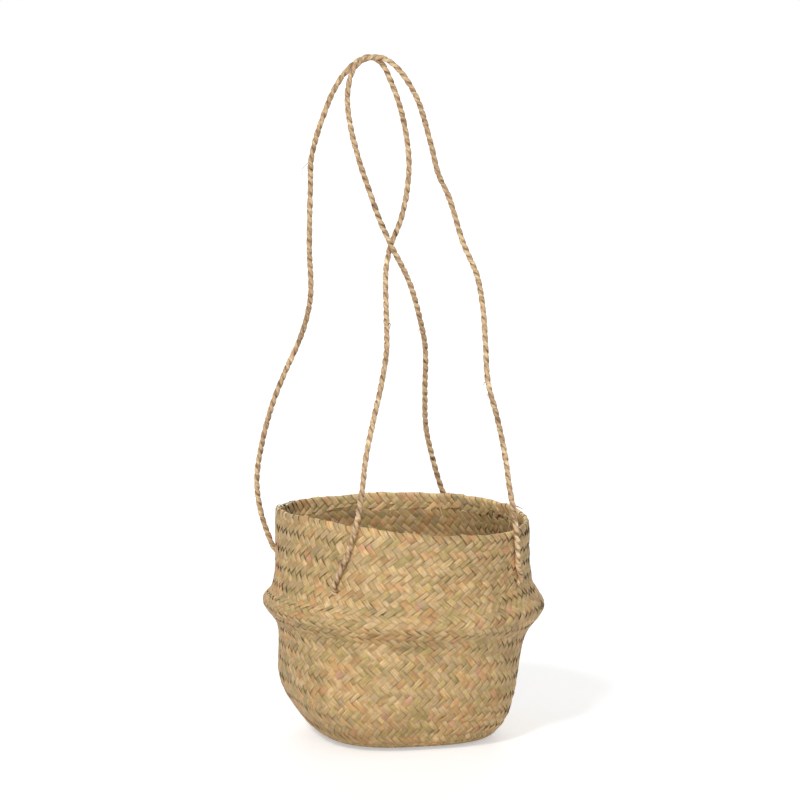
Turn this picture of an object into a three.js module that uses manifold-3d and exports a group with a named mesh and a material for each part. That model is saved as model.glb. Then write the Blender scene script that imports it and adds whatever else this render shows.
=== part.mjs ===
// Hanging planter basket: a soft basket plaited from flat seagrass strips, pressed into a belly ridge,
// with a turned-in hem and two long twisted cord handles that end in stopper knots inside the wall.
// Millimetres, +Z up. The origin is the middle of the underside; the handles belong to -X and +X.
import * as THREE from "three";
import { mergeVertices } from "three/addons/utils/BufferGeometryUtils.js";
import Module from "manifold-3d";

// Outside of the plaited wall, from the flat base up to the mouth.
const BASE_RADIUS = 64;
const BASE_TURN_RADIUS = 82.5;
const BASE_TURN_HEIGHT = 5.5;
const LOWER_WALL_RADIUS = 104.5;
const LOWER_WALL_HEIGHT = 40.5;
const CREASE_RADIUS = 112;
const CREASE_HEIGHT = 97.5;
const RIDGE_RADIUS = 126;
const RIDGE_HEIGHT = 120.5;
const NECK_RADIUS = 116.5;
const NECK_HEIGHT = 137.5;
const MOUTH_RADIUS = 112;
const MOUTH_HEIGHT = 199;
const WALL_THICKNESS = 2.4;

// The base is plaited square, so its four corners stand out by this share of the radius.
const BASE_SQUARENESS = 0.048;

// Hand-made unevenness: the basket slumps towards one side, and its mouth is pulled slightly oval.
const SLUMP_ANGLE = THREE.MathUtils.degToRad(-16);
const MOUTH_OVAL = 8;
const MOUTH_OVAL_RISE = 3.3;

// Strip ends turned in at the mouth and laid against the inside of the wall.
const HEM_DEPTH = 14;
const HEM_THICKNESS = 1.8;

// Twisted cord, its holes through the upper wall and the stopper knots inside.
const CORD_DIAMETER = 4.8;
const CORD_STANDOFF = 3.2;
const HINGE_X = 86;
const HOLE_HEIGHT = 149;
const HOLE_SLOPE = THREE.MathUtils.degToRad(45);
const REAR_LEFT_HOLE_SLOPE = THREE.MathUtils.degToRad(-6);
const KNOT_RADIUS = 7;
const KNOT_LENGTH = 13;
const KNOT_TAIL = 9;

// Clearances between pieces that touch.
const TOUCH_GAP = 0.3;
const HEM_GAP = 0.4;
const HOLE_CLEARANCE = 0.4;
const KNOT_CLEARANCE = 0.8;

// Facets.
const AROUND = 56;
const STEPS_PER_STATION = 5;
const CORD_SIDES = 10;
const CORD_STEPS = 80;

const CORD_RADIUS = CORD_DIAMETER / 2;
const BALL_RADIUS = CORD_RADIUS + 0.1;

// Handle routes between their two holes, rear to front, as the cords hang in loose curves.
const LEFT_ROUTE = [
  [-97, 86, 158], [-103, 88, 172], [-110, 88, 195], [-114, 84, 223], [-111, 77, 256],
  [-103, 67, 295], [-93, 59, 325], [-82, 52, 353], [-76, 47, 376], [-74, 42, 398], [-77, 35, 435],
  [-78, 30, 468], [-78, 27, 495], [-78, 25, 516], [-74, 23, 536], [-68, 20, 556], [-60, 17, 577],
  [-50, 14, 594], [-38, 11, 605], [-27, 10, 608], [-17, 10, 602], [-9, 10, 587], [-1, 10, 566],
  [5, 10, 541], [8, 10, 515], [7, 10, 495], [1, 10, 465], [-9, 9.5, 440], [-15, 4, 419],
  [-20, -15, 379], [-25, -33, 351], [-35, -50, 322], [-47, -66, 292], [-57, -79, 263], [-63, -87, 232],
  [-71, -90, 205], [-79, -87, 179], [-84, -82, 162],
];
const RIGHT_ROUTE = [
  [77, 86, 174], [65, 91, 201], [52, 83, 234], [42, 72, 267], [37, 58, 299], [31, 37, 345],
  [22, 24, 373], [8, 10, 408], [-11, 2.5, 442], [-22, 2, 466], [-31, 2, 491], [-39, 2, 514],
  [-46, 3, 540], [-50, 3, 563], [-50, 3, 580], [-45, 3.5, 598], [-36, 4, 606], [-28, 4, 608],
  [-20, 3.5, 608], [-10, 2, 603], [1, -3, 590], [11, -8, 570], [21, -15, 532], [26, -20, 507],
  [35, -26, 484], [44, -35, 448], [55, -44, 417], [58, -52, 390], [58, -60, 360], [58, -68, 326],
  [64, -77, 294], [69, -85, 260], [71, -90, 237], [73, -93, 220], [76, -95, 198], [80, -92, 178],
  [83, -89, 163],
];

// The wall's stations: size, then how far each slumps sideways and tips, and how oval it is.
const STATIONS = [
  { radius: BASE_RADIUS, height: 0, square: BASE_SQUARENESS, lean: 5.5, tip: 0, oval: 0 },
  { radius: BASE_TURN_RADIUS, height: BASE_TURN_HEIGHT, square: BASE_SQUARENESS, lean: -0.5, tip: 0, oval: 0 },
  { radius: LOWER_WALL_RADIUS, height: LOWER_WALL_HEIGHT, square: BASE_SQUARENESS, lean: -7, tip: -4.8, oval: 0 },
  { radius: CREASE_RADIUS, height: CREASE_HEIGHT, square: 0, lean: -1.5, tip: -4.2, oval: 0 },
  { radius: RIDGE_RADIUS, height: RIDGE_HEIGHT, square: 0, lean: 0, tip: -2.6, oval: 0 },
  { radius: NECK_RADIUS, height: NECK_HEIGHT, square: 0, lean: -0.5, tip: 0.6, oval: 0 },
  { radius: MOUTH_RADIUS, height: MOUTH_HEIGHT, square: 0, lean: -1.5, tip: -2.9, oval: 1 },
];
const NECK_T = (STATIONS.length - 2) / (STATIONS.length - 1);

const wasm = await Module();
wasm.setup();

const seagrass = new THREE.MeshStandardMaterial({ color: 0xbea06e, roughness: 0.75, metalness: 0 });
const hemSeagrass = new THREE.MeshStandardMaterial({ color: 0xa88c5e, roughness: 0.8, metalness: 0 });
const twistedCord = new THREE.MeshStandardMaterial({ color: 0xc8a573, roughness: 0.8, metalness: 0 });

const sizeCurve = new THREE.CatmullRomCurve3(STATIONS.map((s) => new THREE.Vector3(s.radius, s.height, 0)));
const slumpCurve = new THREE.CatmullRomCurve3(STATIONS.map((s) => new THREE.Vector3(s.lean, s.tip, 0)));
const cornerCurve = new THREE.CatmullRomCurve3(STATIONS.map((s) => new THREE.Vector3(s.square, s.oval, 0)));

// A point of the wall's section at t from base (0) to mouth (1), set in from the outside and raised along it.
function sectionPoint(t, inset = 0, raise = 0) {
  const size = sizeCurve.getPoint(t);
  const along = sizeCurve.getTangent(t);
  const slump = slumpCurve.getPoint(t);
  const corner = cornerCurve.getPoint(t);
  return {
    radius: size.x - inset * along.y + raise * along.x,
    height: size.y + inset * along.x + raise * along.y,
    square: Math.max(corner.x, 0),
    oval: Math.max(corner.y, 0),
    lean: slump.x,
    tip: slump.y,
  };
}

// Places a section point at an angle round the basket, with the unevenness that belongs to its station.
function onBasket(point, angle) {
  const fromSlump = angle - SLUMP_ANGLE;
  const share = Math.min(1, point.radius / BASE_RADIUS);
  const uneven = point.lean * Math.cos(fromSlump) - MOUTH_OVAL * point.oval * Math.sin(2 * fromSlump);
  const radius = point.radius * (1 - point.square * Math.cos(4 * angle)) + share * uneven;
  const rise = point.tip * Math.cos(fromSlump) + MOUTH_OVAL_RISE * point.oval * Math.sin(2 * fromSlump);
  return new THREE.Vector3(radius * Math.cos(angle), radius * Math.sin(angle), point.height + rise);
}

// Keeps only positions, joins shared corners and drops triangles that have shrunk to a line.
function closed(geometry) {
  geometry.deleteAttribute("normal");
  geometry.deleteAttribute("uv");
  const merged = mergeVertices(geometry, 1e-4);
  const corners = [];
  for (let i = 0; i < merged.index.count; i += 3) {
    const [a, b, c] = [merged.index.getX(i), merged.index.getX(i + 1), merged.index.getX(i + 2)];
    if (a !== b && b !== c && c !== a) corners.push(a, b, c);
  }
  merged.setIndex(corners);
  return merged;
}

function solid(geometry) {
  const merged = closed(geometry);
  const vertProperties = Float32Array.from(merged.attributes.position.array);
  const triVerts = Uint32Array.from(merged.index.array);
  return new wasm.Manifold(new wasm.Mesh({ numProp: 3, vertProperties, triVerts }));
}

function geometryOf(manifold) {
  const { vertProperties, triVerts } = manifold.getMesh();
  const geometry = new THREE.BufferGeometry();
  geometry.setAttribute("position", new THREE.BufferAttribute(vertProperties, 3));
  geometry.setIndex(new THREE.BufferAttribute(triVerts, 1));
  geometry.computeVertexNormals();
  return geometry;
}

// Turns a section about Z and then gives every point of it the basket's unevenness.
function turnedSection(section) {
  const outline = section.map((p) => new THREE.Vector2(p.radius, p.height));
  const geometry = new THREE.LatheGeometry(outline, AROUND);
  geometry.rotateX(Math.PI / 2);
  const position = geometry.attributes.position;
  for (let i = 0; i < position.count; i++) {
    const angle = Math.atan2(position.getY(i), position.getX(i));
    const placed = onBasket(section[i % section.length], angle);
    position.setXYZ(i, placed.x, placed.y, placed.z);
  }
  return geometry;
}

// The wall's outside radius at a height of the upper wall, found by halving.
function upperWallRadius(angle, height) {
  let low = NECK_T;
  let high = 1;
  for (let i = 0; i < 40; i++) {
    const middle = (low + high) / 2;
    if (onBasket(sectionPoint(middle), angle).z < height) low = middle;
    else high = middle;
  }
  const found = onBasket(sectionPoint(low), angle);
  return Math.hypot(found.x, found.y);
}

// Where a cord leaves its hole: on its handle's hinge line, a cord's stand-off outside the wall.
// The hole runs inwards and down by its slope, far enough for the knot to sit clear of the wall.
function holeMouth(side, end, slope) {
  let spread = Math.PI / 4;
  let radius = 0;
  const angleAt = () => end * (side > 0 ? spread : Math.PI - spread);
  for (let i = 0; i < 40; i++) {
    radius = upperWallRadius(angleAt(), HOLE_HEIGHT) + CORD_STANDOFF;
    spread = Math.acos(HINGE_X / radius);
  }
  const angle = angleAt();
  const inward = new THREE.Vector3(-Math.cos(angle), -Math.sin(angle), 0).multiplyScalar(Math.cos(slope));
  return {
    point: new THREE.Vector3(radius * Math.cos(angle), radius * Math.sin(angle), HOLE_HEIGHT),
    direction: inward.add(new THREE.Vector3(0, 0, -Math.sin(slope))),
    knotMiddle: (CORD_STANDOFF + WALL_THICKNESS + KNOT_RADIUS + KNOT_CLEARANCE) / Math.cos(slope),
  };
}

// Stands a turned shape, made along +Y from its own origin, on a hole's mouth and points it into the hole.
function alongHole(geometry, mouth) {
  const turn = new THREE.Quaternion().setFromUnitVectors(new THREE.Vector3(0, 1, 0), mouth.direction);
  geometry.applyQuaternion(turn);
  geometry.translate(mouth.point.x, mouth.point.y, mouth.point.z);
  return geometry;
}

function ball(radius, point) {
  return new THREE.SphereGeometry(radius, 12, 8).translate(point.x, point.y, point.z);
}

// One plaited piece: base, lower wall, pressed ridge and upper wall, with a rounded edge at the mouth.
function wovenBasket(mouths) {
  const count = STEPS_PER_STATION * (STATIONS.length - 1);
  const section = [{ ...sectionPoint(0), radius: 0 }];
  for (let i = 0; i <= count; i++) section.push(sectionPoint(i / count));
  for (const quarter of [0.25, 0.5, 0.75]) {
    const turn = quarter * Math.PI;
    const inset = (WALL_THICKNESS / 2) * (1 - Math.cos(turn));
    section.push(sectionPoint(1, inset, (WALL_THICKNESS / 2) * Math.sin(turn)));
  }
  for (let i = count; i >= 0; i--) section.push(sectionPoint(i / count, WALL_THICKNESS));
  section.push({ ...sectionPoint(0), radius: 0, height: WALL_THICKNESS });
  let shell = solid(turnedSection(section));
  for (const mouth of mouths) {
    const radius = CORD_RADIUS + HOLE_CLEARANCE;
    const bore = new THREE.CylinderGeometry(radius, radius, mouth.knotMiddle, 16);
    bore.translate(0, mouth.knotMiddle / 2, 0);
    shell = shell.subtract(solid(alongHole(bore, mouth)));
  }
  return geometryOf(shell);
}

// The turned-in strip ends, a second layer that follows the inside of the wall down from the mouth.
function rimHem() {
  const rows = 3;
  const outer = WALL_THICKNESS + HEM_GAP;
  const inner = outer + HEM_THICKNESS;
  const depth = ((1 - NECK_T) * HEM_DEPTH) / (MOUTH_HEIGHT - NECK_HEIGHT);
  const section = [];
  for (let i = rows; i >= 0; i--) section.push(sectionPoint(1 - (depth * i) / rows, outer));
  section.push(sectionPoint(1, (inner + outer) / 2, HEM_THICKNESS / 2));
  for (let i = 0; i <= rows; i++) section.push(sectionPoint(1 - (depth * i) / rows, inner));
  section.push(section[0]);
  return closed(turnedSection(section));
}

// One cord handle: a tube along its route, with round ends where it bends into its holes.
function handleCord(route, rear, front) {
  const points = route.map((p) => new THREE.Vector3(...p));
  const path = new THREE.CatmullRomCurve3([rear.point, ...points, front.point]);
  const section = new THREE.Shape().absarc(0, 0, CORD_RADIUS, 0, 2 * Math.PI);
  const options = { steps: CORD_STEPS, curveSegments: CORD_SIDES / 2, extrudePath: path };
  let cord = solid(new THREE.ExtrudeGeometry(section, options));
  for (const mouth of [rear, front]) cord = cord.add(solid(ball(BALL_RADIUS, mouth.point)));
  return geometryOf(cord);
}

// A cord's end: the neck through the wall, the stopper knot against the inside and a short cut tail.
function stopperKnot(mouth) {
  const half = KNOT_LENGTH / 2;
  const middle = mouth.knotMiddle;
  const outline = [new THREE.Vector2(0, 0), new THREE.Vector2(CORD_RADIUS, 0)];
  const bulges = new THREE.SplineCurve([
    new THREE.Vector2(CORD_RADIUS, middle - half),
    new THREE.Vector2(KNOT_RADIUS * 0.92, middle - half * 0.55),
    new THREE.Vector2(KNOT_RADIUS * 0.84, middle),
    new THREE.Vector2(KNOT_RADIUS, middle + half * 0.5),
    new THREE.Vector2(CORD_RADIUS, middle + half),
  ]);
  outline.push(...bulges.getPoints(10));
  outline.push(new THREE.Vector2(CORD_RADIUS, middle + half + KNOT_TAIL));
  outline.push(new THREE.Vector2(0, middle + half + KNOT_TAIL));
  const knot = solid(alongHole(new THREE.LatheGeometry(outline, 14), mouth));
  return geometryOf(knot.subtract(solid(ball(BALL_RADIUS + TOUCH_GAP, mouth.point))));
}

function named(name, geometry, material) {
  const mesh = new THREE.Mesh(geometry, material);
  mesh.name = name;
  return mesh;
}

const holes = {
  rear_left: holeMouth(-1, 1, REAR_LEFT_HOLE_SLOPE),
  front_left: holeMouth(-1, -1, HOLE_SLOPE),
  rear_right: holeMouth(1, 1, HOLE_SLOPE),
  front_right: holeMouth(1, -1, HOLE_SLOPE),
};

const planter = new THREE.Group();
planter.add(named("woven_basket", wovenBasket(Object.values(holes)), seagrass));
planter.add(named("rim_hem", rimHem(), hemSeagrass));
planter.add(named("left_handle_cord", handleCord(LEFT_ROUTE, holes.rear_left, holes.front_left), twistedCord));
planter.add(named("right_handle_cord", handleCord(RIGHT_ROUTE, holes.rear_right, holes.front_right), twistedCord));
for (const [place, mouth] of Object.entries(holes)) {
  planter.add(named(`${place}_knot`, stopperKnot(mouth), twistedCord));
}

export default planter;
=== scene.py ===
import bpy
import numpy as np
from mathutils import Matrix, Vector


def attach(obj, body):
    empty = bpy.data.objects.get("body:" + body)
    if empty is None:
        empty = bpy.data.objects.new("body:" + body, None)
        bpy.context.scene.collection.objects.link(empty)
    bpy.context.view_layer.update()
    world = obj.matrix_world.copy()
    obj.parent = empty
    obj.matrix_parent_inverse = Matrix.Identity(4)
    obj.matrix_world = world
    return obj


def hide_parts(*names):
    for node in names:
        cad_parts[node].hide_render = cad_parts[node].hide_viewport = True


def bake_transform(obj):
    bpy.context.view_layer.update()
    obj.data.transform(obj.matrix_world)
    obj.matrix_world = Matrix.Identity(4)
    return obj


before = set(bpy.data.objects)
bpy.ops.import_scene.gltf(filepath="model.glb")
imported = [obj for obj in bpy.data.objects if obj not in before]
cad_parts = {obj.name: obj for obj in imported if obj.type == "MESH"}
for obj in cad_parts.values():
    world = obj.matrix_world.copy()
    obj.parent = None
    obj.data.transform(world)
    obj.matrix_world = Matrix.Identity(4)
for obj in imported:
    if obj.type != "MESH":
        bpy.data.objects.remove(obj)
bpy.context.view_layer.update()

# Plaited wall. One soft plait of flat seagrass strips in two families, one rising to the right and one to the
# left, each strip passing over two and under two of the other family, so the floats lie in herringbone rows.
# It is pressed by hand into a belly ridge and has slumped a little to one side. All lengths here are in mm.
STRIPS = 88
STRIP_PITCH = 5.52
WALL_INSET = 0.75
HEM_DEPTH = 15.0
HEM_INSET = 3.0
HEM_EDGE_INSET = 1.4
BASE_RADIUS = 64.0
SLUMP_ANGLE = np.radians(-16.0)
MOUTH_OVAL = 8.0
MOUTH_OVAL_RISE = 3.3
# How finely the section of the plait is sampled: each span of the wall, across the base, round the mouth's fold;
# and the gap between the last point on the base and the first one of its edge.
SAMPLES_PER_SPAN = 120
BASE_SAMPLES = 80
FOLD_SAMPLES = 24
BASE_EDGE_GAP = 1.0
# However wide a cell of the lattice is pulled, the square of its tall diagonal keeps this share.
LEAST_TALL = 0.2
# Each row is one height of the wall: radius, height, sideways slump, tip, squareness and ovalness.
WALL_STATIONS = np.array([
    [64.0, 0.0, 5.5, 0.0, 0.048, 0.0],
    [82.5, 5.5, -0.5, 0.0, 0.048, 0.0],
    [104.5, 40.5, -7.0, -4.8, 0.048, 0.0],
    [112.0, 97.5, -1.5, -4.2, 0.0, 0.0],
    [126.0, 120.5, 0.0, -2.6, 0.0, 0.0],
    [116.5, 137.5, -0.5, 0.6, 0.0, 0.0],
    [112.0, 199.0, -1.5, -2.9, 0.0, 1.0],
])


def smooth_through(stations, per_span):
    """Smooth curve through rows of station values: a cubic in each span, whose slope at a station weighs the
    two chords there by the square roots of their lengths."""
    s = np.asarray(stations, float)
    p = np.vstack([2 * s[0] - s[1], s, 2 * s[-1] - s[-2]])
    root = np.sqrt(np.linalg.norm(np.diff(p, axis=0), axis=1))[:, None]
    here = np.where(root[1:-1] < 1e-4, 1.0, root[1:-1])
    before = np.where(root[:-2] < 1e-4, here, root[:-2])
    after = np.where(root[2:] < 1e-4, here, root[2:])
    p0, p1, p2, p3 = p[:-3], p[1:-2], p[2:-1], p[3:]
    start = ((p1 - p0) / before - (p2 - p0) / (before + here) + (p2 - p1) / here) * here
    stop = ((p2 - p1) / here - (p3 - p1) / (here + after) + (p3 - p2) / after) * here
    x = (np.arange(per_span) / per_span)[None, :, None]
    p1, p2, start, stop = (a[:, None, :] for a in (p1, p2, start, stop))
    cubic = p1 + start * x + (3 * (p2 - p1) - 2 * start - stop) * x**2 + (2 * (p1 - p2) + start + stop) * x**3
    return np.vstack([cubic.reshape(-1, s.shape[1]), s[-1:]])


def length_along(points):
    """The length of a line of points up to each of them: the steps between them added up."""
    return np.concatenate([[0.0], np.cumsum(np.linalg.norm(np.diff(points, axis=0), axis=1))])


def plait_path():
    """The middle of the plait followed from the centre of the base, out and up the wall, over the mouth's fold
    and down the hem. Columns: place, radius, height, the outside's direction, slump, tip, squareness, ovalness.
    Place runs from -1 at the centre to 0 at the base's edge, and then counts crossings of the lattice: one
    crossing is the tall diagonal of a cell, whose wide diagonal is the circumference over the strip count."""
    size = smooth_through(WALL_STATIONS[:, :2], SAMPLES_PER_SPAN)
    form = np.hstack([
        smooth_through(WALL_STATIONS[:, 2:4], SAMPLES_PER_SPAN),
        np.maximum(smooth_through(WALL_STATIONS[:, 4:], SAMPLES_PER_SPAN), 0.0),
    ])
    along = np.gradient(size, axis=0)
    along /= np.linalg.norm(along, axis=1)[:, None]
    outside = np.stack([along[:, 1], -along[:, 0]], 1)
    middle = size - outside * WALL_INSET
    flat = np.linspace([0.0, WALL_INSET], [middle[0, 0] - BASE_EDGE_GAP, WALL_INSET], BASE_SAMPLES)
    down = np.tile([0.0, -1.0], (BASE_SAMPLES, 1))
    turn = np.linspace(0.0, np.pi, FOLD_SAMPLES + 1)[1:-1, None]
    fold_middle = size[-1] - outside[-1] * (WALL_INSET + HEM_INSET) / 2
    fold_out = outside[-1] * np.cos(turn) + along[-1] * np.sin(turn)
    fold = fold_middle + fold_out * (HEM_INSET - WALL_INSET) / 2
    hem_rows = np.flatnonzero(size[:, 1] > size[-1, 1] - HEM_DEPTH)[::-1]
    hem = size[hem_rows] - outside[hem_rows] * np.linspace(HEM_INSET, HEM_EDGE_INSET, len(hem_rows))[:, None]
    points = np.vstack([flat, middle, fold, hem])
    outward = np.vstack([down, outside, fold_out, -outside[hem_rows]])
    base_form, fold_form = np.tile(form[0], (BASE_SAMPLES, 1)), np.tile(form[-1], (len(turn), 1))
    shape = np.vstack([base_form, form, fold_form, form[hem_rows]])
    run = length_along(points)
    edge = BASE_SAMPLES + SAMPLES_PER_SPAN
    wide = np.pi * points[:, 0] / (STRIP_PITCH * STRIPS)
    tall = 2 * STRIP_PITCH * np.sqrt(np.maximum(1 - wide**2, LEAST_TALL))
    crossings = np.concatenate([[0.0], np.cumsum(np.diff(run) / (tall[1:] + tall[:-1]) * 2)])
    place = np.where(run < run[edge], run / run[edge] - 1, crossings - crossings[edge])
    rim = place[BASE_SAMPLES + len(size) + len(turn) // 2]
    return np.column_stack([place, points, outward, shape]), rim, place[-1]


PLAIT, RIM_PLACE, HEM_END = plait_path()
# The plait is pulled askew: above the neck it turns by some radians for each place, below it the rows of floats
# sink towards one side by part of a place, and the fold of the mouth is a little wavy, in mm. The sinking and the
# waves fade out over these numbers of places.
ASKEW = 0.013
NECK_PLACE = 0.66 * RIM_PLACE
SUNK_ROWS = 0.7
SUNK_FADE = 6.0
MOUTH_WAVE = 0.4
MOUTH_WAVE_FADE = 1.2


def on_plait(angle, place, lift):
    """A point of the basket: the plait's section at that place, lifted towards its outside, turned about Z,
    with the corners (four waves round the base), the slump (one wave) and the oval mouth (two waves) added. The
    place is first shifted where the rows have sunk, and the angle where the plait is askew. The fold of the mouth
    rises and falls in 44, 17 and 9 small waves."""
    wall = np.clip(np.minimum(place, NECK_PLACE - place) / SUNK_FADE, 0, 1)
    mouth = np.clip(MOUTH_WAVE_FADE - np.abs(place - RIM_PLACE), 0, 1)
    place = place - SUNK_ROWS * wall * np.cos(angle)
    radius, height, out_r, out_z, lean, tip, square, oval = (
        np.interp(place, PLAIT[:, 0], PLAIT[:, k]) for k in range(1, 9)
    )
    share = np.minimum(1.0, radius / BASE_RADIUS)
    angle = angle + ASKEW * np.maximum(place - NECK_PLACE, 0.0)
    one = np.cos(angle - SLUMP_ANGLE)
    two = np.sin(2 * (angle - SLUMP_ANGLE))
    radius = radius + lift * out_r
    radius = radius * (1 - square * np.cos(4 * angle)) + share * (lean * one - MOUTH_OVAL * oval * two)
    height = height + lift * out_z + tip * one + MOUTH_OVAL_RISE * oval * two
    height = height + MOUTH_WAVE * mouth * (np.sin(44 * angle) + np.sin(17 * angle) + np.sin(9 * angle + 1))
    return np.stack([radius * np.cos(angle), radius * np.sin(angle), height], -1)


# Where the four ends of the cords go through the wall: the mouth of each hole, just outside the wall, in mm, and
# how steeply the hole slopes down inwards, in degrees.
CORD_HOLES = {
    "rear_left": ((-86.0, 84.0, 149.0), -6.0),
    "front_left": ((-86.0, -78.5, 149.0), 45.0),
    "rear_right": ((86.0, 77.9, 149.0), 45.0),
    "front_right": ((86.0, -82.6, 149.0), 45.0),
}
# How far the mouths stand off the wall, in mm, and the samples along the upper wall in which a hole is looked up.
HOLE_STANDOFF = 3.2
HOLE_SAMPLES = 400
# Round a hole the strips are pushed aside, at most by this share of a strip, which fades across and along them.
PARTED_BY = 0.26
PARTED_ACROSS = 0.8
PARTED_ALONG = 1.4


def cord_hole(name):
    """A hole's mouth, the direction inwards along it, and the cosine of its slope."""
    mouth, slope = np.array(CORD_HOLES[name][0]), np.radians(CORD_HOLES[name][1])
    inward = -mouth[:2] / np.linalg.norm(mouth[:2])
    return mouth, np.append(inward * np.cos(slope), -np.sin(slope)), np.cos(slope)


def hole_on_plait(name):
    """Angle and place at which a hole meets the middle of the plait: its line followed inwards to the wall, and
    the height there looked up along the upper wall."""
    mouth, inwards, level = cord_hole(name)
    point = mouth + inwards * (HOLE_STANDOFF + WALL_INSET) / level
    angle = np.arctan2(point[1], point[0])
    places = np.linspace(NECK_PLACE, RIM_PLACE, HOLE_SAMPLES)
    place = np.interp(point[2], on_plait(np.full_like(places, angle), places, 0.0)[:, 2], places)
    return angle - ASKEW * (place - NECK_PLACE), place


HOLES_ON_PLAIT = [hole_on_plait(name) for name in CORD_HOLES]


def parted(strip, crossing, rise):
    """How far strips are pushed aside round the holes, in strips: away from each hole, fading within about one
    strip across and two crossings along."""
    push = 0.0
    for angle, place in HOLES_ON_PLAIT:
        aside = strip - (angle * STRIPS / np.pi - 2 * rise * place) / 2
        aside = np.mod(aside + STRIPS / 2, STRIPS) - STRIPS / 2
        along = crossing - 2 * place
        fade = np.exp(-((aside / PARTED_ACROSS) ** 2) - (along / PARTED_ALONG) ** 2)
        push = push + PARTED_BY * np.where(aside < 0, -1, 1) * fade
    return push


# A strip's closed section: across its width in cells, and through its thickness in mm, outside face first.
SECTION_ACROSS = np.array([-0.5, -0.4, 0.4, 0.5, 0.4, -0.4])
SECTION_THROUGH = np.array([0.0, 0.3, 0.3, 0.0, -0.3, -0.3])
# Height of the weave, in mm, how flat its floats are, and its slackness at the base and what the mouth adds.
WEAVE_LIFT = 0.5
FLOAT_FLATNESS = 1.6
BASE_SLACK = 1.15
MOUTH_SLACK = 0.75
# Sections along a strip within four crossings, close together where it dives under its neighbours, and the ones
# next to the fold of the mouth.
RINGS_IN_FOUR = np.array([-0.12, 0.22, 0.5, 0.78, 1.12, 1.5, 1.88, 2.22, 2.5, 2.78, 3.12, 3.5])
FOLD_RINGS = np.array([0.0, 0.1, 0.22, 0.36, 0.54, 0.76])
# Painted shade on a strip where it dives under others, how soon it gets there, painted shade on the face that shows
# inside the basket, and how much of an edge's painted highlight and shade reaches the faces.
HIDDEN_PAINTED_SHADE = 0.45
HIDDEN_FROM = 1.2
INSIDE_PAINTED_SHADE = 0.84
EDGE_ON_FACES = 0.35
# At the two sides the plait hangs slack, with more relief, and its gaps are painted with deeper shade, less so on the
# far side; low down it is tight, and its gaps are painted with paler shade. One family is a little darker than the
# other, partly its own tone and partly a painted sheen on the lighter family.
SLACK_STEEPNESS = 2.2
SLACK_RELIEF = 0.3
SLACK_GAP_PAINTED_DARKER = 0.7
FAR_SIDE_SLACK = 0.6
TIGHT_STEEPNESS = 2.5
TIGHT_GAP_PAINTED_PALER = 0.3
FAMILY_TONE_AND_PAINTED_SHEEN = 0.025
# Crossings within which a strip's unevenness begins at its ends, its width settles above the base, and its sections
# turn level; and places within which it narrows about the fold and lies flatter, to a least share, by the hem's edge.
UNEVEN_WITHIN = 2.0
SETTLED_WITHIN = 4.0
LEVEL_WITHIN = 1.2
FOLD_WITHIN = 1.5
FLATTER_WITHIN = 1.2
FLATTEST = 0.3
# Shares by which strips are wider than their spacing, at the front, where the angle's sine is below a value, and at
# the back; and narrower in the fold of the mouth, which lies loosest about one angle, in radians, and lets a little
# light through there.
FRONT_BELOW = -0.2
FRONT_OVERLAP = 0.03
BACK_OVERLAP = 0.05
FOLD_NARROWING = 0.06
LOOSE_NARROWING = 0.5
LOOSE_MOUTH = 2.5
LOOSE_SPREAD = 0.35
# From one strip to the next the grain's map moves on by this much.
MAP_STEP = 3.0
rng = np.random.default_rng(11)

# No two strips are equally wide: each family's edges lie a little aside of an even spacing, in strips.
EDGE_SPREAD = 0.17
EDGES_ASIDE = {rise: rng.uniform(-EDGE_SPREAD, EDGE_SPREAD, STRIPS) for rise in (1, -1)}
# What sets one stretch of a strip apart from the next. Each row gives a value's middle, the strip's own share, the
# drift along the strip and two limits: tone, shade, wander, plumpness, tilt, and the painted highlight and shade of
# each of the two edges.
STRIP_SPREADS = np.array([
    [0.5, 0.2, 0.13, 0.0, 1.0],
    [1.0, 0.05, 0.08, 0.75, 1.25],
    [0.0, 0.0, 0.03, -0.08, 0.08],
    [1.0, 0.1, 0.22, 0.6, 1.5],
    [0.0, 0.0, 0.1, -0.22, 0.22],
    [1.0, 0.0, 0.22, 0.5, 1.5],
    [1.0, 0.0, 0.22, 0.5, 1.5],
])
# The width differs from strip to strip, and now and then a stretch is pinched.
WIDTH_SPREAD = 0.02
PINCHED_BY = 0.24
PINCHED_SHARE = 0.05
TONE, SHADE, WANDER, PLUMP, TILT, PAINTED_LEFT_EDGE, PAINTED_RIGHT_EDGE, WIDTH = range(8)


def edge_aside(rise, index):
    """How far a family's edges lie aside at a strip number, whole numbers being the middles of strips."""
    return np.interp(index + 0.5, np.arange(STRIPS), EDGES_ASIDE[rise], period=STRIPS)


def over_under(crossing):
    """Height of a strip in the weave, from 1 on top to -1 beneath: a flattened cosine, over for the crossings
    from -1.5 to 0.5 and under for the next two. The floats that turn over the mouth are two crossings longer."""
    turn = np.floor(2 * RIM_PLACE) - 0.5
    crossing = crossing - np.clip(crossing - turn, 0.0, 2.0)
    return np.clip(FLOAT_FLATNESS * np.cos(np.pi / 2 * (crossing + 0.5)), -1.0, 1.0)


def slackness(place):
    """How loosely the plait lies, as a factor on its relief: tight at the base, and slacker with the square of
    the way up to the mouth."""
    return BASE_SLACK + MOUTH_SLACK * np.clip(place / RIM_PLACE, 0.0, 1.0) ** 2


def side_slack(angle):
    """How slackly the plait hangs at an angle: it follows the cosine of the angle from the slump's line, from 0 at
    the front and back to 1 on the side it has slumped to, and to less on the far side."""
    sideways = np.cos(angle - SLUMP_ANGLE)
    rising = np.clip(1 - SLACK_STEEPNESS * (1 - np.abs(sideways)), 0, 1)
    return rising * np.where(sideways > 0, 1.0, FAR_SIDE_SLACK)


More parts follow.
